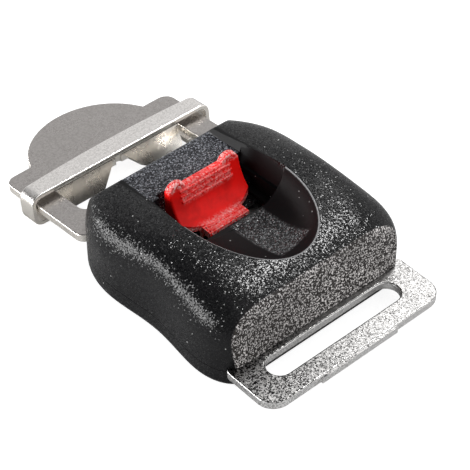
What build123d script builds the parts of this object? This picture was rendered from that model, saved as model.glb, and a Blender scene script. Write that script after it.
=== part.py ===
from build123d import *
import math
import os

os.makedirs("parts", exist_ok=True)

# All lengths in mm. Places are measured from the centre of the strap slot, on the
# upper face of the strap plate: x across, y toward the tongue, z up.

# strap and steel
webbing_w = 25.0
plate_t = 1.5
steel_edge = 0.2

# strap plate
slot_play = 2.0
slot_len = webbing_w + slot_play
slot_w = 4.3
slot_edge = 0.3
plate_side = 4.8
plate_w = slot_len + 2 * plate_side
rear_web = 3.75
plate_rear = slot_w / 2 + rear_web
plate_head = 4.6
plate_corner = 3.2
neck_corner = 1.0
plate_neck_w = 29.0
nose_back = 3.6
cutoff_w = 15.8
cutoff_d = 0.4
cutoff_x = -0.4
cutoff_inset = 0.15

# housing, shaped as one body and then parted into shell and base
fit_gap = 0.1
floor_t = 2.6
floor_z = -plate_t - fit_gap - floor_t
seam_z = -plate_t / 2
seam_gap = 0.1
crest_z = 11.8
housing_side = 1.2
housing_half_w = plate_w / 2 + housing_side
slot_to_face = 1.1
rear_face_y = slot_w / 2 + slot_to_face
rear_face_lean = 6.2
rear_edge = 0.4
rear_overhang = 0.65
housing_rear = rear_face_y - rear_overhang
housing_len = 41.6
housing_front = housing_rear + housing_len
bottom_edge = 1.3

# plan of the housing: rounded rear and front corners with a slight waist between them
corner_rear_len = 7.4
corner_rear_in = 5.2
corner_front_len = 13.2
corner_front_in = 10.5
corner_rear_y = housing_rear + corner_rear_len
corner_front_y = housing_front - corner_front_len
waist_in = 0.8
waist_y = 20.5
waist_len = 10.5

# shoulders: full quarter rounds between the wall and a flat top
crest_y = waist_y
crest_drop_rear = 2.6
crest_bend = 2.5
crest_drop_front = 2.3
flat_half_w = 11.3
flat_gain = 1.6
flat_loss = 1.1
spring_z = 3.7
spring_gain = 1.5
spring_loss = 0.2
shoulder_full = 0.7
front_top_z = 8.85
front_top_back = 4.2
front_top_y = housing_front - front_top_back
front_round = 1.0
front_fall = 1.17

# tongue: flat steel that dips toward the front, with its own height at the pivot
tongue_t = plate_t
tongue_slope = 0.1
tilt = math.atan(tongue_slope)
pivot_back = 13.6
pivot_y = housing_front - pivot_back
tongue_at_pivot = 2.66
window_play = 0.65
window_half_w = webbing_w / 2 + window_play
rail_w = 4.55
rail_half_w = window_half_w + rail_w
window_gap = 0.7
window_rear_y = housing_front + window_gap
window_len = 7.7
window_corner = 1.8
lip_y = window_rear_y + window_len
lip_len = 4.0
lip_angle = 68.0
lip_relief = 0.4
lip_inner = 4.5
lip_notch = 0.9
lip_corner = 0.6
notch_r = 0.6
tab_r = 13.1
tab_ahead = 3.9
tab_y = lip_y + tab_ahead
shoulder_ahead = 4.6
shoulder_y = tab_y + shoulder_ahead
shoulder_corner = 2.0
neck_depth = 4.6
neck_y = housing_front - neck_depth
nose_reach = 9.7
nose_y = pivot_y - nose_reach
nose_half_w = 11.5
nose_corner = 3.0
channel_gap = 0.3
side_gap = 0.4
tip_y = tab_y + tab_r * math.cos(tilt)

# release lever, drawn around its pivot
pivot_lift = 2.24
pivot_z = tongue_at_pivot + pivot_lift
lever_half_w = 7.2
lever_side_gap = 0.35
lever_front = 1.0
lever_swing_room = 1.6
lever_h = 6.3
lever_tip_t = 1.4
lever_edge = 0.35
face_belly_y = 2.2
face_belly_z = 3.0
face_toe_y = 2.3
face_toe_z = 0.75
hub_r = 1.6
body_rear = 5.0
body_under = 0.6
hub_rear = 2.6
toe_round = 2.2
toe_edge = 0.3
foot_r = 6.5
foot_half_w = 4.1
foot_top = 0.3
foot_under = 0.9
catch_r = 5.0
catch_depth = 3.0
catch_heel = 2.0
catch_tip_t = 1.8
catch_play = 0.35
hole_front_gap = 0.6
ear_r = 1.8
ear_h = 1.1
rib_r = 0.26
rib_shares = (0.08, 0.2, 0.32)
rib_half_w = 5.3
foot_rib_r = 0.22
foot_rib_pitch = 0.9
foot_rib_count = 4
pin_r = 0.75
pin_fit = 0.05
pin_seat_fit = 0.03
pin_grip = 3.9

# front panel, lever well and finger scoop
panel_half_w = 9.0
panel_front_back = 4.1
panel_front_y = housing_front - panel_front_back
panel_rear_ahead = 1.7
panel_rear_y = pivot_y + panel_rear_ahead
slot_front_y = pivot_y + lever_front + lever_swing_room
panel_front_z = 8.8
panel_rear_z = 9.3
panel_fall = 1.19
panel_lean = 28.0
panel_round = 1.2
well_play = 0.25
bar_y = pivot_y - foot_r - well_play
floor_bar = 1.15
well_rear_y = bar_y - floor_bar
side_hole_len = 2.3
well_half_rear = 9.5
well_half_front = 9.0
well_lean = 15.0
ledge_z = 7.5
ledge_in = 0.5
well_floor_under = 0.1
well_floor_z = pivot_z - well_floor_under
web_under = 0.8
web_z = pivot_z - web_under
boss_back = 1.8
boss_y = pivot_y - boss_back
hub_room = 0.9
boss_over = 1.5
boss_z = pivot_z + boss_over
scoop_ahead = 0.3
scoop_y = well_rear_y + scoop_ahead
scoop_over = 0.2
scoop_z = crest_z + scoop_over
scoop_rear_web = 4.8
scoop_rx = 10.3
scoop_ry = scoop_y - housing_rear - scoop_rear_web
scoop_rz = 7.3
rim_edge = 0.4

# adjuster bar on the rails
bar_w = 4.3
bar_lap = 0.9
bar_rear_y = lip_y - bar_lap
bar_crown = 0.8
bar_t = 0.9
bar_over = 0.85
bar_under = 1.95
bar_shift = 0.4
bar_side_gap = 0.15
bar_half_w = rail_half_w + bar_shift + bar_side_gap + bar_t
bar_bend = 2.0
bar_leg = 5.5
bar_edge = 0.25

# base posts that hold the strap plate
post_r = 2.0
post_x = 8.5
post_back = 9.25
post_y = rear_face_y + post_back
post_h = 1.2
post_root = 0.5
post_gap = 0.12

reach = 30.0
lap = 0.1
origin_y = (tip_y - plate_rear - cutoff_d) / 2
to_origin = Location((0, -origin_y, -floor_z))


def tongue_z(y):
    return tongue_at_pivot - tongue_slope * (y - pivot_y)


def block(x0, x1, y0, y1, z0, z1):
    return Pos((x0 + x1) / 2, (y0 + y1) / 2, (z0 + z1) / 2) * Box(x1 - x0, y1 - y0, z1 - z0)


def across(points, half_w):
    # a side profile of (y, z) points, extruded to both sides
    return extrude(Plane.YZ * make_face(Polyline(*points, close=True)), half_w, both=True)


def rod(radius, half_len, y, z):
    return Pos(0, y, z) * Rot(0, 90, 0) * Cylinder(radius, 2 * half_len)


def soften(solid, radius):
    # rounds the rims of the top and bottom faces
    levels = solid.edges().filter_by_position(Axis.Z, -0.001, 0.001)
    depth = solid.bounding_box().min.Z
    levels += solid.edges().filter_by_position(Axis.Z, depth - 0.001, depth + 0.001)
    return fillet(levels, radius)


def edge_near(solid, x, y, z):
    spot = Vector(x, y, z)
    return min(solid.edges(), key=lambda e: (e.center() - spot).length)


# strap plate
plate_nose = neck_y - nose_back
head_h = plate_rear + plate_head
head = Pos(0, plate_head - head_h / 2) * Rectangle(plate_w, head_h)
neck = Pos(0, plate_nose / 2) * Rectangle(plate_neck_w, plate_nose)
plate_plan = head + neck
rear_corners = plate_plan.vertices().group_by(Axis.Y)[0]
plate_plan = fillet(rear_corners, plate_corner)
front_corners = plate_plan.vertices().filter_by(lambda v: v.Y > 1)
plate_plan = fillet(front_corners, neck_corner)
plate_room = offset(plate_plan, fit_gap)
post_places = [Pos(post_x, post_y), Pos(-post_x, post_y)]
holes = Sketch() + [p * Circle(post_r + post_gap) for p in post_places]
strap_plate = soften(extrude(plate_plan - holes, -plate_t), steel_edge)
strap_slot = extrude(SlotOverall(slot_len, slot_w), -plate_t)
strap_plate = strap_plate - strap_slot
slot_rims = strap_plate.edges().filter_by(
    lambda e: abs(e.center().Y) < slot_w / 2 + 0.01 and abs(e.center().X) < slot_len / 2 + 0.01
    and e.bounding_box().size.Z < 0.001)
strap_plate = fillet(slot_rims, slot_edge)
cutoff = block(cutoff_x - cutoff_w / 2, cutoff_x + cutoff_w / 2,
               -plate_rear - cutoff_d, -plate_rear + steel_edge, -plate_t + cutoff_inset, -cutoff_inset)
strap_plate = strap_plate + cutoff


# housing body
def waist(y):
    share = min(abs(y - waist_y) / waist_len, 1)
    return math.cos(math.pi / 2 * share) ** 2


def crest(y):
    if y < crest_y:
        share = (crest_y - y) / (crest_y - housing_rear)
        return crest_z - crest_drop_rear * share ** crest_bend
    share = (y - crest_y) / (housing_front - crest_y)
    return crest_z - crest_drop_front * (1 - math.cos(math.pi * share)) / 2


def housing_section(y, corner_in):
    w = housing_half_w - corner_in - waist_in * waist(y)
    flat = flat_half_w + flat_gain * waist(y) - flat_loss * corner_in
    spring = spring_z + spring_gain * waist(y) - spring_loss * corner_in
    top = crest(y)
    rise = shoulder_full * (top - spring)
    run = shoulder_full * (w - flat)
    plane = Plane(origin=(0, y, 0), x_dir=(1, 0, 0), z_dir=(0, -1, 0))
    edges = (
        Line((-w, under_z), (w, under_z)),
        Line((w, under_z), (w, spring)),
        Bezier((w, spring), (w, spring + rise), (flat + run, top), (flat, top)),
        Line((flat, top), (-flat, top)),
        Bezier((-flat, top), (-flat - run, top), (-w, spring + rise), (-w, spring)),
        Line((-w, spring), (-w, under_z)),
    )
    return plane * make_face(edges)


# the sections run below the floor, which is then cut flat
under_z = floor_z - lap
stations = []
for turn in (67, 45, 22):
    a = math.radians(turn)
    stations.append((corner_rear_y - corner_rear_len * math.sin(a), corner_rear_in * (1 - math.cos(a))))
middle_steps = 6
for i in range(middle_steps + 1):
    stations.append((corner_rear_y + (corner_front_y - corner_rear_y) * i / middle_steps, 0))
for turn in (15, 30, 45, 60, 70, 78):
    a = math.radians(turn)
    stations.append((corner_front_y + corner_front_len * math.sin(a), corner_front_in * (1 - math.cos(a))))
body = loft([housing_section(y, corner_in) for y, corner_in in stations])
rear_cut = block(-reach, reach, -reach, 0, -reach, reach)
body = body - Pos(0, rear_face_y, 0) * Rot(-rear_face_lean, 0, 0) * rear_cut
front_cut = across(
    ((front_top_y - reach, front_top_z + front_fall * reach),
     (front_top_y + reach, front_top_z - front_fall * reach),
     (front_top_y + reach, front_top_z + front_fall * reach)),
    reach)
body = body - front_cut
front_rim = body.edges().filter_by(
    lambda e: e.center().Z > front_top_z / 2
    and abs(e.center().Z - front_top_z + front_fall * (e.center().Y - front_top_y)) < 0.02)
body = fillet(front_rim, front_round)

# front panel, sunk between splayed walls and wrapped down over the front
panel_slope = (panel_rear_z - panel_front_z) / (panel_front_y - panel_rear_y)
panel_end_y = housing_front + 1
panel_end_z = panel_front_z - panel_fall * (panel_end_y - panel_front_y)
panel_side = make_face(Polyline(
    (panel_rear_y - 1, panel_rear_z + panel_slope), (panel_front_y, panel_front_z),
    (panel_end_y, panel_end_z), (panel_end_y, reach), (panel_rear_y - 1, reach), close=True))
panel_corner = panel_side.vertices().sort_by_distance((panel_front_y, panel_front_z))[0]
panel_side = fillet(panel_corner, panel_round)
splay = math.tan(math.radians(panel_lean)) * reach
panel_walls = make_face(Polyline(
    (-panel_half_w, 0), (panel_half_w, 0), (panel_half_w, panel_front_z),
    (panel_half_w + splay, panel_front_z + reach), (-panel_half_w - splay, panel_front_z + reach),
    (-panel_half_w, panel_front_z), close=True))
panel_cut = extrude(Plane.YZ * panel_side, reach, both=True)
panel_cut = panel_cut & Pos(0, panel_end_y, 0) * extrude(Plane.XZ * panel_walls, reach)
body = body - panel_cut

# scoop, well and lever slot
scoop = Pos(0, scoop_y, scoop_z) * scale(Sphere(1), by=(scoop_rx, scoop_ry, scoop_rz))
scoop = scoop & block(-reach, reach, 0, well_rear_y + lap, -reach, reach)


def well_plan(inset):
    return make_face(Polyline(
        (inset - well_half_rear, well_rear_y), (well_half_rear - inset, well_rear_y),
        (well_half_front - inset, panel_rear_y), (inset - well_half_front, panel_rear_y),
        close=True))


well_top = Pos(0, 0, ledge_z) * extrude(well_plan(0), crest_z, taper=-well_lean)
well_top = well_top & block(-reach, reach, well_rear_y, panel_rear_y, 0, reach)
well_low = Pos(0, 0, well_floor_z) * extrude(well_plan(ledge_in), reach)
bosses = block(-reach, reach, boss_y, panel_rear_y + 1, 0, boss_z)
slot_half = lever_half_w + lever_side_gap
lever_slot = block(-slot_half, slot_half, bar_y, slot_front_y, web_z, reach)
catch_slot = block(-foot_half_w - side_gap, foot_half_w + side_gap, bar_y, boss_y, 0, web_z + 1)
hub_slot = block(-slot_half, slot_half, boss_y - hub_room, slot_front_y, 0, web_z + 1)
side_holes = block(-slot_half, slot_half, bar_y, bar_y + side_hole_len, 0, web_z + 1)
pin_half = slot_half + pin_grip
pin_bore = rod(pin_r + pin_seat_fit, pin_half + fit_gap, pivot_y, pivot_z)
cuts = [scoop, well_top, well_low - bosses, lever_slot, catch_slot, side_holes, hub_slot, pin_bore]

# room for the tongue and for the strap plate
mouth_y = neck_y - channel_gap
channel = across(
    ((nose_y - channel_gap, seam_z), (panel_end_y, seam_z),
     (panel_end_y, tongue_z(panel_end_y) + channel_gap),
     (nose_y - channel_gap, tongue_z(nose_y - channel_gap) + channel_gap)),
    nose_half_w + side_gap)
mouth = across(
    ((mouth_y, seam_z), (panel_end_y, seam_z),
     (panel_end_y, tongue_z(panel_end_y) + channel_gap), (mouth_y, tongue_z(mouth_y) + channel_gap)),
    rail_half_w + side_gap)
plate_cut = Pos(0, 0, fit_gap) * extrude(plate_room, -plate_t - 2 * fit_gap)
body = body - plate_cut
sockets = Part() + [p * extrude(Circle(post_r + post_gap), post_h + fit_gap) for p in post_places]

shell = body & block(-reach, reach, -reach, 2 * reach, seam_z + seam_gap / 2, reach)
base = body & block(-reach, reach, -reach, 2 * reach, floor_z, seam_z - seam_gap / 2)
housing = shell - (cuts + [channel, mouth, sockets])
rear_rim = housing.edges().filter_by(
    lambda e: e.length > panel_half_w and e.center().Y < rear_face_y + 2 and e.center().Z > spring_z)
housing = fillet(rear_rim, rear_edge)
scoop_rim = edge_near(housing, 0, scoop_y - scoop_ry, crest_z - crest_drop_rear / 2)
housing = fillet(scoop_rim, rim_edge)
base = fillet(base.edges().group_by(Axis.Z)[0], bottom_edge)
post_foot = plate_t + fit_gap + post_root
post = Pos(0, 0, -post_foot) * extrude(Circle(post_r), post_foot + post_h)
posts = Part() + [p * post for p in post_places]
housing_base = base + posts

# release lever
tip_y0 = pivot_y + lever_front
tip_z = pivot_z + lever_h
heel_y = pivot_y - body_rear
heel_z = pivot_z - body_under
face_curve = Bezier(
    (tip_y0 - lever_tip_t, tip_z), (tip_y0 - face_belly_y, pivot_z + face_belly_z),
    (heel_y + face_toe_y, pivot_z + face_toe_z), (heel_y, pivot_z + foot_top))
side_edges = (
    Line((tip_y0, pivot_z - hub_r), (tip_y0, tip_z)),
    Line((tip_y0, tip_z), (tip_y0 - lever_tip_t, tip_z)),
    face_curve,
    Line((heel_y, pivot_z + foot_top), (heel_y, heel_z)),
    Line((heel_y, heel_z), (pivot_y - hub_rear, heel_z)),
    Line((pivot_y - hub_rear, heel_z), (pivot_y - hub_r, pivot_z - hub_r)),
    Line((pivot_y - hub_r, pivot_z - hub_r), (tip_y0, pivot_z - hub_r)),
)
lever_body = extrude(Plane.YZ * make_face(side_edges), lever_half_w, both=True)
toe_side_y = heel_y + toe_round
lever_plan = make_face((
    Line((-lever_half_w, toe_side_y), (-lever_half_w, tip_y0)),
    Line((-lever_half_w, tip_y0), (lever_half_w, tip_y0)),
    Line((lever_half_w, tip_y0), (lever_half_w, toe_side_y)),
    ThreePointArc((lever_half_w, toe_side_y), (0, heel_y), (-lever_half_w, toe_side_y)),
))
lever_body = lever_body & extrude(lever_plan, reach)
lever_rims = lever_body.edges().filter_by(lambda e: abs(e.center().X) > lever_half_w - 0.01)
lever_rims += lever_body.edges().filter_by(Axis.X).group_by(Axis.Z)[-1]
lever_body = fillet(lever_rims, lever_edge)
lever_body = fillet(edge_near(lever_body, 0, heel_y, pivot_z + foot_top), toe_edge)
ear_z = tip_z + ear_h - ear_r
for side in (-1, 1):
    ear = Rot(90, 0, 0) * Cylinder(ear_r, lever_tip_t)
    ear = fillet(ear.edges().filter_by(GeomType.CIRCLE), lever_edge)
    lever_body = lever_body + Pos(side * (lever_half_w - ear_r), tip_y0 - lever_tip_t / 2, ear_z) * ear
for share in rib_shares:
    spot = face_curve @ share
    rib = rod(rib_r, rib_half_w, spot.X, spot.Y)
    lever_body = lever_body + fillet(rib.edges().filter_by(GeomType.CIRCLE), rib_r / 2)
foot = across(
    ((pivot_y - foot_r - 1, pivot_z + foot_top), (pivot_y - 1, pivot_z + foot_top),
     (pivot_y - 1, pivot_z - foot_under), (pivot_y - foot_r - 1, pivot_z - foot_under)),
    foot_half_w)
foot = foot & rod(foot_r, foot_half_w + 1, pivot_y, pivot_z)
for i in range(foot_rib_count):
    foot = foot + rod(foot_rib_r, foot_half_w - lever_edge,
                      pivot_y - foot_r + foot_rib_pitch * (i + 0.5), pivot_z + foot_top)
tooth_top = pivot_z - foot_under
tooth_low = pivot_z - catch_depth
tooth_rear = pivot_y - catch_r - 1
tooth = across(
    ((tooth_rear, tooth_top + lap), (pivot_y - catch_heel, tooth_top + lap),
     (pivot_y - catch_heel, tooth_top - lap), (pivot_y - catch_r + catch_tip_t, tooth_low),
     (tooth_rear, tooth_low)),
    foot_half_w)
tooth = tooth & rod(catch_r, foot_half_w + 1, pivot_y, pivot_z)
lever = lever_body + foot + tooth - rod(pin_r + pin_fit, lever_half_w + 1, pivot_y, pivot_z)

# lever pin
lever_pin = rod(pin_r, pin_half, pivot_y, pivot_z)

# tongue, drawn flat and then laid on its slope
tongue_plane = Plane(origin=(0, pivot_y, tongue_at_pivot), x_dir=(1, 0, 0), z_dir=(0, tongue_slope, 1))
tongue_lay = tongue_plane.location


def along(y):
    return (y - pivot_y) / math.cos(tilt)


def rect(half_w, y0, y1):
    return Pos(0, (along(y0) + along(y1)) / 2) * Rectangle(2 * half_w, along(y1) - along(y0))


frame_plan = rect(rail_half_w, neck_y, shoulder_y)
frame_plan = fillet(frame_plan.vertices(), shoulder_corner)
tab = Pos(0, along(tab_y)) * Circle(tab_r)
nose = rect(nose_half_w, nose_y, neck_y + shoulder_corner)
nose = fillet(nose.vertices().group_by(Axis.Y)[0], nose_corner)
window = rect(window_half_w, window_rear_y, lip_y)
window = fillet(window.vertices().group_by(Axis.Y)[0], window_corner)
hole_rear = pivot_y - catch_r - catch_play
hole_front = pivot_y - catch_heel + hole_front_gap
catch_hole = rect(foot_half_w + side_gap, hole_rear, hole_front)
relief = Pos(0, along(lip_y)) * Circle(notch_r)
tongue_plan = frame_plan + tab + nose - window - catch_hole - relief
tongue_flat = soften(extrude(tongue_plan, -tongue_t), steel_edge)

# two lip wings bent down from the front edge of the window
lip_rad = math.radians(lip_angle)
lip_normal = (0, -math.sin(lip_rad), math.cos(lip_rad))
lip_plane = Plane(origin=(0, along(lip_y), 0), x_dir=(1, 0, 0), z_dir=lip_normal)
wing = Polyline((lip_notch, 0), (window_half_w - lip_relief, 0),
                (window_half_w - lip_relief, -lip_len), (lip_inner, -lip_len), close=True)
wing = make_face(wing)
wing = fillet(wing.vertices().group_by(Axis.Y)[0], lip_corner)
wing = extrude(lip_plane * wing, -tongue_t)
tongue_flat = tongue_flat + wing + mirror(wing, about=Plane.YZ)

# adjuster bar, a flat strip folded in under both rails
bar_top = bar_over + bar_t
bar_low = -tongue_t - bar_under - bar_t
bar_mid = along(bar_rear_y) + bar_w / 2
bar_in_half_w = bar_half_w - bar_t
fold = RectangleRounded(2 * bar_half_w, bar_top - bar_low, bar_bend)
fold = fold - RectangleRounded(2 * bar_in_half_w, bar_top - bar_low - 2 * bar_t, bar_bend - bar_t)
fold = fold - Pos(0, bar_low) * Rectangle(2 * (bar_half_w - bar_leg), bar_top - bar_low)
fold = Pos(0, bar_mid, (bar_top + bar_low) / 2) * extrude(Plane.XZ * fold, bar_w, both=True)
bar_y0 = bar_mid - bar_w / 2
bar_y1 = bar_mid + bar_w / 2
bar_plan = make_face((
    Line((-bar_half_w, bar_y0), (bar_half_w, bar_y0)),
    Line((bar_half_w, bar_y0), (bar_half_w, bar_y1 - bar_crown)),
    ThreePointArc((bar_half_w, bar_y1 - bar_crown), (0, bar_y1), (-bar_half_w, bar_y1 - bar_crown)),
    Line((-bar_half_w, bar_y1 - bar_crown), (-bar_half_w, bar_y0)),
))
slider_bar = fold & extrude(bar_plan, reach, both=True)
slider_bar = fillet(slider_bar.edges().group_by(Axis.Y)[0], bar_edge)
slider_bar = fillet(edge_near(slider_bar, 0, bar_y1, bar_top), bar_edge)
slider_bar = Pos(bar_shift, 0, 0) * slider_bar

buckle_parts = {
    "housing": housing,
    "housing_base": housing_base,
    "strap_plate": strap_plate,
    "release_lever": lever,
    "lever_pin": lever_pin,
    "tongue": tongue_lay * tongue_flat,
    "slider_bar": tongue_lay * slider_bar,
}
for name, solid in buckle_parts.items():
    print(name, len(solid.solids()), round(solid.volume, 1))
    export_step(to_origin * solid, "parts/" + name + ".step")
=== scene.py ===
import bpy
import math
from mathutils import Euler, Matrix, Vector

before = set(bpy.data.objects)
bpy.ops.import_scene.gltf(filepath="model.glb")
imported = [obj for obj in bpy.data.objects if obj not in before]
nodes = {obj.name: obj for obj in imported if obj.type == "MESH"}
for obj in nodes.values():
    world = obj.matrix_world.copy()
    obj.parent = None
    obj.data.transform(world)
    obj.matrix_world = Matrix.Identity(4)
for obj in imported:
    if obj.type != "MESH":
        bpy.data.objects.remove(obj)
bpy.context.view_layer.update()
scene = bpy.context.scene
print("frame loaded:", sorted(nodes))


# camera, standing behind the strap plate and to its left
cameraSettings = {
    "place": (-0.13409, -0.16024, 0.19885),
    "elevation": 43.41,
    "azimuth": -41.51,
    "lens": 134.56,
    "sensor": 36,
    "clipStart": 0.01,
}

cameraData = bpy.data.cameras.new("camera")
cameraData.sensor_width = cameraSettings["sensor"]
cameraData.lens = cameraSettings["lens"]
cameraData.clip_start = cameraSettings["clipStart"]
camera = bpy.data.objects.new("camera", cameraData)
camera.location = cameraSettings["place"]
camera.rotation_euler = Euler((
    math.radians(90 - cameraSettings["elevation"]), 0, math.radians(cameraSettings["azimuth"])))
scene.collection.objects.link(camera)
scene.camera = camera
print("camera set")


# nodes and links, kept short
def addNode(tree, kind, **values):
    node = tree.nodes.new(kind)
    for name, value in values.items():
        setattr(node, name, value)
    return node


def feed(tree, socket, value):
    if isinstance(value, bpy.types.NodeSocket):
        tree.links.new(value, socket)
    else:
        socket.default_value = value


def calc(tree, operation, a, b=0.0, clamp=False):
    node = addNode(tree, "ShaderNodeMath", operation=operation, use_clamp=clamp)
    feed(tree, node.inputs[0], a)
    feed(tree, node.inputs[1], b)
    return node.outputs[0]


def chain(tree, operation, first, *others):
    for other in others:
        first = calc(tree, operation, first, other)
    return first


def less(tree, a, b):
    return calc(tree, "SUBTRACT", a, b, clamp=True)


def vectorCalc(tree, operation, a, b=(0, 0, 0)):
    node = addNode(tree, "ShaderNodeVectorMath", operation=operation)
    feed(tree, node.inputs[0], a)
    feed(tree, node.inputs[1], b)
    return node.outputs["Value" if operation in ("LENGTH", "DOT_PRODUCT") else "Vector"]


def split(tree, vector):
    node = addNode(tree, "ShaderNodeSeparateXYZ")
    feed(tree, node.inputs[0], vector)
    return node.outputs


def ramp(tree, value, low, high, toLow=0.0, toHigh=1.0, soft=False):
    node = addNode(tree, "ShaderNodeMapRange", clamp=True,
                   interpolation_type="SMOOTHSTEP" if soft else "LINEAR")
    for name, number in (("Value", value), ("From Min", low), ("From Max", high),
                         ("To Min", toLow), ("To Max", toHigh)):
        feed(tree, node.inputs[name], number)
    return node.outputs["Result"]


def mixColour(tree, share, a, b):
    node = addNode(tree, "ShaderNodeMix", data_type="RGBA")
    feed(tree, node.inputs["Factor"], share)
    feed(tree, node.inputs["A"], a if isinstance(a, bpy.types.NodeSocket) else (*a, 1))
    feed(tree, node.inputs["B"], b if isinstance(b, bpy.types.NodeSocket) else (*b, 1))
    return node.outputs["Result"]


def noise(tree, vector, scale, detail, rough):
    node = addNode(tree, "ShaderNodeTexNoise")
    for name, value in (("Vector", vector), ("Scale", scale), ("Detail", detail),
                        ("Roughness", rough)):
        feed(tree, node.inputs[name], value)
    return node.outputs["Fac"]


# shared effects as node groups
groupSettings = {
    "dotRadius": (0.03, 0.09),  # in cells of the dust
    "rubDetail": 3.0,
    "rubRough": 0.6,
    "rubRange": (0.35, 0.68),
    "edgeAt": 1.014,  # just outside the ball, on its filleted rim
    "edgeFade": (0.004, 0.011),
}


def newGroup(name, takes, gives):
    tree = bpy.data.node_groups.new(name, "ShaderNodeTree")
    for label, kind, value in takes:
        socket = tree.interface.new_socket(name=label, in_out="INPUT", socket_type=kind)
        if value is not None:
            socket.default_value = value
    for label in gives:
        kind = "NodeSocketVector" if label == "Normal" else "NodeSocketFloat"
        tree.interface.new_socket(name=label, in_out="OUTPUT", socket_type=kind)
    start = addNode(tree, "NodeGroupInput")
    end = addNode(tree, "NodeGroupOutput")
    return tree, start.outputs, end.inputs


def addCells(tree, take):
    cells = addNode(tree, "ShaderNodeTexVoronoi", feature="F1")
    feed(tree, cells.inputs["Vector"], take["Vector"])
    feed(tree, cells.inputs["Scale"], take["Scale"])
    return cells.outputs


# a random value and a random lean of the surface for each cell
def makeGrain():
    tree, take, give = newGroup("grain", (
        ("Vector", "NodeSocketVector", None), ("Scale", "NodeSocketFloat", 4000.0),
        ("Tilt", "NodeSocketFloat", 0.3)), ("Speck", "Normal"))
    cells = addCells(tree, take)
    chance = addNode(tree, "ShaderNodeTexWhiteNoise", noise_dimensions="3D")
    feed(tree, chance.inputs["Vector"], cells["Position"])
    speck = chance.outputs["Value"]
    feed(tree, give["Speck"], speck)
    lean = vectorCalc(tree, "SUBTRACT", cells["Color"], (0.5, 0.5, 0.5))
    lean = vectorCalc(tree, "MULTIPLY", lean, calc(tree, "MULTIPLY", take["Tilt"], speck))
    face = addNode(tree, "ShaderNodeNewGeometry").outputs["Normal"]
    leaning = vectorCalc(tree, "NORMALIZE", vectorCalc(tree, "ADD", face, lean))
    feed(tree, give["Normal"], leaning)
    return tree


# small dots in a share of the cells
def makeDust():
    tree, take, give = newGroup("dust", (
        ("Vector", "NodeSocketVector", None), ("Scale", "NodeSocketFloat", 450.0),
        ("Share", "NodeSocketFloat", 0.25)), ("Mask",))
    cells = addCells(tree, take)
    pick = addNode(tree, "ShaderNodeSeparateColor")
    feed(tree, pick.inputs["Color"], cells["Color"])
    dots = ramp(tree, cells["Distance"], *groupSettings["dotRadius"], 1.0, 0.0)
    chosen = calc(tree, "LESS_THAN", pick.outputs["Green"], take["Share"])
    feed(tree, give["Mask"], calc(tree, "MULTIPLY", dots, chosen))
    return tree


# broad soft patches
def makeRub():
    tree, take, give = newGroup("rub", (
        ("Vector", "NodeSocketVector", None), ("Scale", "NodeSocketFloat", 180.0)), ("Mask",))
    broad = noise(tree, take["Vector"], take["Scale"],
                  groupSettings["rubDetail"], groupSettings["rubRough"])
    feed(tree, give["Mask"], ramp(tree, broad, *groupSettings["rubRange"], soft=True))
    return tree


def makeInsideBox():
    tree, take, give = newGroup("insideBox", (
        ("Vector", "NodeSocketVector", None), ("Centre", "NodeSocketVector", None),
        ("Half", "NodeSocketVector", None), ("Soft", "NodeSocketFloat", 0.0005)), ("Mask",))
    away = vectorCalc(tree, "SUBTRACT", take["Vector"], take["Centre"])
    away = vectorCalc(tree, "ABSOLUTE", away)
    spare = split(tree, vectorCalc(tree, "SUBTRACT", take["Half"], away))
    least = chain(tree, "MINIMUM", spare["X"], spare["Y"], spare["Z"])
    deep = calc(tree, "DIVIDE", least, take["Soft"])
    feed(tree, give["Mask"], ramp(tree, deep, 0.0, 1.0, soft=True))
    return tree


# Edge is a thin ring around the ball
def makeInsideBall():
    tree, take, give = newGroup("insideBall", (
        ("Vector", "NodeSocketVector", None), ("Centre", "NodeSocketVector", None),
        ("Radii", "NodeSocketVector", (1, 1, 1)), ("Soft", "NodeSocketFloat", 0.03)),
        ("Mask", "Edge"))
    away = vectorCalc(tree, "SUBTRACT", take["Vector"], take["Centre"])
    away = vectorCalc(tree, "LENGTH", vectorCalc(tree, "DIVIDE", away, take["Radii"]))
    spare = calc(tree, "DIVIDE", calc(tree, "SUBTRACT", 1.0, away), take["Soft"])
    feed(tree, give["Mask"], ramp(tree, spare, -1.0, 0.0, soft=True))
    off = calc(tree, "ABSOLUTE", calc(tree, "SUBTRACT", away, groupSettings["edgeAt"]))
    feed(tree, give["Edge"], ramp(tree, off, *groupSettings["edgeFade"], 1.0, 0.0))
    return tree


groups = {"grain": makeGrain(), "dust": makeDust(), "rub": makeRub(),
          "insideBox": makeInsideBox(), "insideBall": makeInsideBall()}
print("node groups made:", sorted(groups))


def place(tree, name, **values):
    node = addNode(tree, "ShaderNodeGroup", node_tree=groups[name])
    for label, value in values.items():
        feed(tree, node.inputs[label], value)
    return node.outputs


def startMaterial(name):
    material = bpy.data.materials.new(name)
    material.use_nodes = True
    tree = material.node_tree
    shader = tree.nodes["Principled BSDF"]
    here = addNode(tree, "ShaderNodeTexCoord").outputs["Object"]
    return material, tree, shader, here


def dress(name, material):
    mesh = nodes[name].data
    if not mesh.materials:
        mesh.materials.append(material)
    for i in range(len(mesh.materials)):
        mesh.materials[i] = material
    print("dressed", name)


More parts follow.
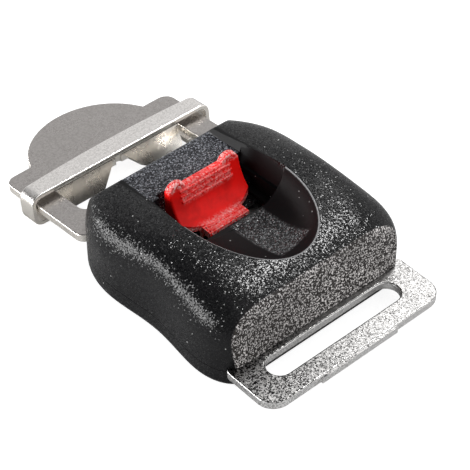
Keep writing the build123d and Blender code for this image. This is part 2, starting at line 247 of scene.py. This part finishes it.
# moulded black body: grained outside, smooth in the scoop, the well and the notch,
# speckled on the front panel and on the rear face; a grained patch on the scoop's floor
# is painted paler as a pool of light, and a pale line on the scoop's rim is a painted highlight
housingSettings = {
    "colour": (0.0025, 0.0025, 0.003),
    "speck": (0.009, 0.009, 0.0095),
    "grainScale": 6200.0,
    "tilt": 0.75,
    "rubScale": 160.0,
    "rough": (0.15, 0.2),
    "specular": 0.24,
    "smoothRough": 0.5,
    "smoothSpecular": 0.14,
    "dust": (0.75, 0.75, 0.74),
    "dustScale": 650.0,
    "dustShare": 0.6,
    "dustCover": 0.8,
    "scoop": {"Centre": (0, -0.00862, 0.0162), "Radii": (0.0103, 0.0156, 0.0073),
              "Soft": 0.03},
    "boxes": {
        "well": {"Centre": (0, -0.0041, 0.0135), "Half": (0.0106, 0.0050, 0.0050),
                 "Soft": 0.0004},
        # grained patch on the scoop's floor, painted paler as a pool of light falling there
        "paintedLightWedge": {"Centre": (0.0026, -0.0140, 0.0095), "Half": (0.0032, 0.0062, 0.0040),
                  "Soft": 0.0007},
        "panel": {"Centre": (0, 0.0078, 0.0100), "Half": (0.0092, 0.0072, 0.0037),
                  "Soft": 0.0003},
        "notch": {"Centre": (0, 0.0078, 0.0148), "Half": (0.0104, 0.0080, 0.0018),
                  "Soft": 0.0002},
    },
    # pale line along the rear half of the scoop's rim: a painted highlight
    "rimColour": (0.26, 0.26, 0.265),
    "rimLow": 0.0122,
    "rimFade": 0.0004,
    "speckScale": 5400.0,
    "sharpness": 4.5,
    # paler colour and specks of the scoop floor's patch: real grain with a painted pool of
    # light
    "paintedLightWedgeColour": (0.016, 0.017, 0.0175),
    "paintedLightWedgeSpeck": (0.36, 0.37, 0.38),
    "panelColour": (0.008, 0.009, 0.012),
    "panelSpeck": (0.33, 0.34, 0.38),
    "rearFaceAt": -0.02853,
    "rearFaceLean": -0.1086,
    "rearFaceFade": 0.0001,
    "rearColour": (0.036, 0.032, 0.030),
    "rearSpeck": (1.0, 0.96, 0.945),
    "rearShare": (0.64, 0.83),
    "cloudScale": 130.0,
    "cloudShare": (0.6, 1.0),
}


def findAreas(tree, here, values):
    areas = {part: place(tree, "insideBox", Vector=here, **box)["Mask"]
             for part, box in values["boxes"].items()}
    ball = place(tree, "insideBall", Vector=here, **values["scoop"])
    smooth = chain(tree, "MAXIMUM", ball["Mask"], areas["well"], areas["notch"])
    smooth = less(tree, smooth, areas["panel"])
    areas["paintedLightWedge"] = calc(tree, "MULTIPLY", areas["paintedLightWedge"], smooth)
    areas["smooth"] = less(tree, smooth, areas["paintedLightWedge"])
    areas["grained"] = less(tree, 1.0, areas["smooth"])

    lean = vectorCalc(tree, "DOT_PRODUCT", here, (0, 1, values["rearFaceLean"]))
    areas["rear"] = ramp(tree, lean, values["rearFaceAt"] - values["rearFaceFade"],
                         values["rearFaceAt"] + values["rearFaceFade"], 1.0, 0.0)

    # the painted highlight, a pale line, runs around the rear half of the scoop's rim only
    spot = split(tree, here)
    high = ramp(tree, spot["Z"], values["rimLow"], values["rimLow"] + values["rimFade"])
    behind = calc(tree, "LESS_THAN", spot["Y"], values["scoop"]["Centre"][1])
    areas["rim"] = chain(tree, "MULTIPLY", ball["Edge"], less(tree, 1.0, areas["well"]),
                         high, behind)
    return areas


def colourAreas(tree, here, areas, colour, values):
    coarse = place(tree, "grain", Vector=here, Scale=values["speckScale"], Tilt=0.0)["Speck"]
    sharp = calc(tree, "POWER", coarse, values["sharpness"])
    # the scoop floor's patch is painted paler as a pool of light; the panel's specks are its
    # own grain
    for part in ("paintedLightWedge", "panel"):
        speckled = mixColour(tree, sharp, values[part + "Colour"], values[part + "Speck"])
        colour = mixColour(tree, areas[part], colour, speckled)
    cloud = place(tree, "rub", Vector=here, Scale=values["cloudScale"])["Mask"]
    share = calc(tree, "MULTIPLY", ramp(tree, coarse, *values["rearShare"]),
                 ramp(tree, cloud, 0.0, 1.0, *values["cloudShare"]))
    speckled = mixColour(tree, share, values["rearColour"], values["rearSpeck"])
    colour = mixColour(tree, areas["rear"], colour, speckled)
    # painted highlight along the scoop's rim
    return mixColour(tree, areas["rim"], colour, values["rimColour"])


def makeHousingPlastic(name, values, isShell):
    material, tree, shader, here = startMaterial(name)
    areas = findAreas(tree, here, values) if isShell else {"grained": 1.0}
    grained = areas["grained"]
    grain = place(tree, "grain", Vector=here, Scale=values["grainScale"],
                  Tilt=calc(tree, "MULTIPLY", grained, values["tilt"]))
    share = calc(tree, "MULTIPLY", grain["Speck"], grained)
    colour = mixColour(tree, share, values["colour"], values["speck"])
    rub = place(tree, "rub", Vector=here, Scale=values["rubScale"])["Mask"]
    rough = ramp(tree, rub, 0.0, 1.0, *values["rough"])
    specular = values["specular"]
    if isShell:
        colour = colourAreas(tree, here, areas, colour, values)
        rough = calc(tree, "ADD", calc(tree, "MULTIPLY", rough, grained),
                     calc(tree, "MULTIPLY", areas["smooth"], values["smoothRough"]))
        specular = ramp(tree, grained, 0.0, 1.0, values["smoothSpecular"], specular)
    dust = place(tree, "dust", Vector=here, Scale=values["dustScale"],
                 Share=values["dustShare"])["Mask"]
    dust = calc(tree, "MULTIPLY", dust, values["dustCover"])
    feed(tree, shader.inputs["Base Color"], mixColour(tree, dust, colour, values["dust"]))
    feed(tree, shader.inputs["Roughness"], rough)
    feed(tree, shader.inputs["Specular IOR Level"], specular)
    feed(tree, shader.inputs["Normal"], grain["Normal"])
    return material


dress("housing", makeHousingPlastic("housingPlastic", housingSettings, True))
dress("housing_base", makeHousingPlastic("basePlastic", housingSettings, False))


# bead blasted strap plate, darker towards its left end, and satin tongue, bar and pin
# upward: facing range where the side colour gives way to the top colour
steelSettings = {"rubScale": 210.0, "upward": (0.4, 0.85)}
satinSettings = {
    **steelSettings,
    "grainScale": 4200.0,
    "tilt": 0.07,
    "pitShare": (0.7, 0.7),
    "pitAcross": (-1.0, 1.0),
    "pitRange": (0.2, 1.0),
    "sidePits": 0.0,
}
plateSettings = {
    **steelSettings,
    "colour": (0.42, 0.414, 0.407),
    # side faces painted near white: a painted reflection
    "side": (0.98, 0.97, 0.96),
    "pit": (0.008, 0.008, 0.008),
    "rough": (0.26, 0.32),
    "grainScale": 5600.0,
    "tilt": 0.26,
    # more dark specks towards the left end, so the plate is darker there
    "pitShare": (1.0, 0.4),
    "pitAcross": (-0.016, 0.008),
    "pitRange": (0.36, 0.64),
    "sidePits": 0.45,
}
tongueSettings = {
    **satinSettings,
    "colour": (0.48, 0.455, 0.44),
    # side faces painted pale cream: a painted reflection
    "side": (0.98, 0.94, 0.88),
    "pit": (0.34, 0.318, 0.305),
    "rough": (0.26, 0.30),
}
barSettings = {
    **satinSettings,
    "colour": (0.92, 0.89, 0.865),
    # cream tint on the side faces: a painted highlight
    "side": (0.9, 0.86, 0.8),
    "pit": (0.7, 0.67, 0.65),
    "rough": (0.22, 0.26),
}
pinSettings = {
    **satinSettings,
    "colour": (0.5, 0.49, 0.48),
    "side": (0.5, 0.49, 0.48),
    "pit": (0.36, 0.35, 0.345),
    "rough": (0.3, 0.45),
    "grainScale": 3600.0,
    "tilt": 0.1,
    "pitShare": (0.5, 0.5),
}


def makeSteel(name, values):
    material, tree, shader, here = startMaterial(name)
    grain = place(tree, "grain", Vector=here, Scale=values["grainScale"], Tilt=values["tilt"])
    rub = place(tree, "rub", Vector=here, Scale=values["rubScale"])["Mask"]
    across = split(tree, here)["X"]
    share = calc(tree, "MULTIPLY",
                 ramp(tree, across, *values["pitAcross"], *values["pitShare"], soft=True),
                 ramp(tree, grain["Speck"], *values["pitRange"]))
    sideShare = calc(tree, "MULTIPLY", share, values["sidePits"])
    facing = split(tree, addNode(tree, "ShaderNodeNewGeometry").outputs["Normal"])
    upward = ramp(tree, facing["Z"], *values["upward"], soft=True)
    # side faces take the side colour: a painted reflection on the plate and tongue
    side = mixColour(tree, sideShare, values["side"], values["pit"])
    top = mixColour(tree, share, values["colour"], values["pit"])
    feed(tree, shader.inputs["Base Color"], mixColour(tree, upward, side, top))
    feed(tree, shader.inputs["Metallic"], 1.0)
    feed(tree, shader.inputs["Roughness"], ramp(tree, rub, 0.0, 1.0, *values["rough"]))
    feed(tree, shader.inputs["Normal"], grain["Normal"])
    return material


dress("strap_plate", makeSteel("plateSteel", plateSettings))
dress("tongue", makeSteel("tongueSteel", tongueSettings))
dress("slider_bar", makeSteel("barSteel", barSettings))
dress("lever_pin", makeSteel("pinSteel", pinSettings))


# glossy red lever, with pale glints painted into its colour on its ears, ribs and foot as
# painted highlights
leverSettings = {
    "colour": (0.95, 0.008, 0.006),
    "deep": (0.66, 0.004, 0.003),
    "rubScale": 260.0,
    "rough": (0.3, 0.42),
    "specular": 0.15,
    # pale colour of the painted highlights on the ears, ribs and foot
    "paintedGlint": (1.0, 0.6, 0.58),
    "glintScale": 3900.0,
    "glintPower": 1.8,
    "tilt": (0.03, 0.9),  # on the plain faces and under the glints
    "earFrom": (0.0148, 0.0160),
    "ribFrom": (0.0123, 0.0130),
    "ribShare": 0.42,
    "ribHalf": 0.0052,
    "ribFade": 0.0003,
    "footTo": (0.0090, 0.0100),
}


def makeLeverPlastic(values):
    material, tree, shader, here = startMaterial("leverPlastic")
    rub = place(tree, "rub", Vector=here, Scale=values["rubScale"])["Mask"]
    spot = split(tree, here)
    ears = ramp(tree, spot["Z"], *values["earFrom"], soft=True)
    ribs = ramp(tree, spot["Z"], *values["ribFrom"], 0.0, values["ribShare"])
    inner = ramp(tree, calc(tree, "ABSOLUTE", spot["X"]),
                 values["ribHalf"] - values["ribFade"], values["ribHalf"], 1.0, 0.0)
    ribs = calc(tree, "MULTIPLY", ribs, inner)
    foot = ramp(tree, spot["Z"], *values["footTo"], 1.0, 0.0, soft=True)
    # ears, ribs and foot take the pale painted highlights
    paintedGlintAreas = chain(tree, "MAXIMUM", ears, ribs, foot)
    grain = place(tree, "grain", Vector=here, Scale=values["glintScale"],
                  Tilt=ramp(tree, paintedGlintAreas, 0.0, 1.0, *values["tilt"]))
    paintedGlint = calc(tree, "POWER", grain["Speck"], values["glintPower"])
    paintedGlint = calc(tree, "MULTIPLY", paintedGlintAreas, paintedGlint)
    colour = mixColour(tree, rub, values["colour"], values["deep"])
    feed(tree, shader.inputs["Base Color"], mixColour(tree, paintedGlint, colour, values["paintedGlint"]))
    feed(tree, shader.inputs["Roughness"], ramp(tree, rub, 0.0, 1.0, *values["rough"]))
    feed(tree, shader.inputs["Specular IOR Level"], values["specular"])
    feed(tree, shader.inputs["Normal"], grain["Normal"])
    return material


dress("release_lever", makeLeverPlastic(leverSettings))


# pale floor, white to the camera and grey in reflections
floorSettings = {
    "half": 3.0,
    "colour": (0.5, 0.5, 0.5),
    "shade": (0.86, 0.86, 0.86),
    "scale": 30.0,
    "detail": 3.0,
    "noiseRough": 0.5,
    "noiseRange": (0.3, 0.7),
    "tone": (0.97, 1.0),
    "rough": 0.9,
    "specular": 0.0,
    "glowColour": (1, 1, 1, 1),
    "glow": (0.04, 0.85),  # in reflections and to the camera
}


def makeFloorPaper(values):
    material, tree, shader, here = startMaterial("floorPaper")
    cloud = noise(tree, here, values["scale"], values["detail"], values["noiseRough"])
    tone = ramp(tree, cloud, *values["noiseRange"], *values["tone"])
    feed(tree, shader.inputs["Base Color"],
         mixColour(tree, tone, values["shade"], values["colour"]))
    feed(tree, shader.inputs["Roughness"], values["rough"])
    feed(tree, shader.inputs["Specular IOR Level"], values["specular"])
    feed(tree, shader.inputs["Emission Color"], values["glowColour"])
    seen = addNode(tree, "ShaderNodeLightPath").outputs["Is Camera Ray"]
    feed(tree, shader.inputs["Emission Strength"], ramp(tree, seen, 0.0, 1.0, *values["glow"]))
    return material


bpy.ops.mesh.primitive_plane_add(size=2 * floorSettings["half"])
floor = bpy.context.object
floor.name = "floor"
floor.data.materials.append(makeFloorPaper(floorSettings))


# studio sky: grey overhead, dim on the left and bright behind the plate
skySettings = {
    "low": (0.75, 0.75, 0.75),
    "high": (0.22, 0.22, 0.225),
    "highFrom": (0.55, 0.75),
    "rear": (1.25, 1.25, 1.25),
    "rearTo": (-0.6, 0.2),
    "strength": (0.2, 1.0),
    "leftTo": (-0.5, 0.1),
}

world = bpy.data.worlds.new("studio")
scene.world = world
world.use_nodes = True
sky = world.node_tree
background = sky.nodes["Background"]
toward = split(sky, addNode(sky, "ShaderNodeTexCoord").outputs["Generated"])
overhead = ramp(sky, toward["Z"], *skySettings["highFrom"], soft=True)
skyColour = mixColour(sky, overhead, skySettings["low"], skySettings["high"])
rear = ramp(sky, toward["Y"], *skySettings["rearTo"], 1.0, 0.0, soft=True)
feed(sky, background.inputs["Color"], mixColour(sky, rear, skyColour, skySettings["rear"]))
feed(sky, background.inputs["Strength"],
     ramp(sky, toward["X"], *skySettings["leftTo"], *skySettings["strength"], soft=True))


# soft lamps, where the body, the plate and the bar mirror them to the camera
lampSettings = {
    "top": {"toward": (0.49, 0.18, 0.86), "distance": 1.1,
            "size": 0.18, "tall": 0.14, "watts": 4.2},
    "left": {"toward": (-0.73, 0.68, 0.03), "distance": 1.0,
             "size": 1.0, "tall": 0.5, "watts": 18.0},
    "flank": {"toward": (-0.97, 0.22, 0.10), "distance": 1.0,
              "size": 0.35, "tall": 0.6, "watts": 9.0},
    "right": {"toward": (0.60, 0.39, 0.70), "distance": 1.0,
              "size": 0.18, "tall": 0.18, "watts": 0.5},
}

for lampName, values in lampSettings.items():
    lampData = bpy.data.lights.new(lampName, "AREA")
    lampData.energy = values["watts"]
    lampData.shape = "RECTANGLE"
    lampData.size = values["size"]
    lampData.size_y = values["tall"]
    lamp = bpy.data.objects.new(lampName, lampData)
    aim = Vector(values["toward"]).normalized()
    lamp.location = aim * values["distance"]
    lamp.rotation_euler = aim.to_track_quat("Z", "Y").to_euler()
    scene.collection.objects.link(lamp)

scene.view_settings.view_transform = "Standard"
print("stage and lamps set")
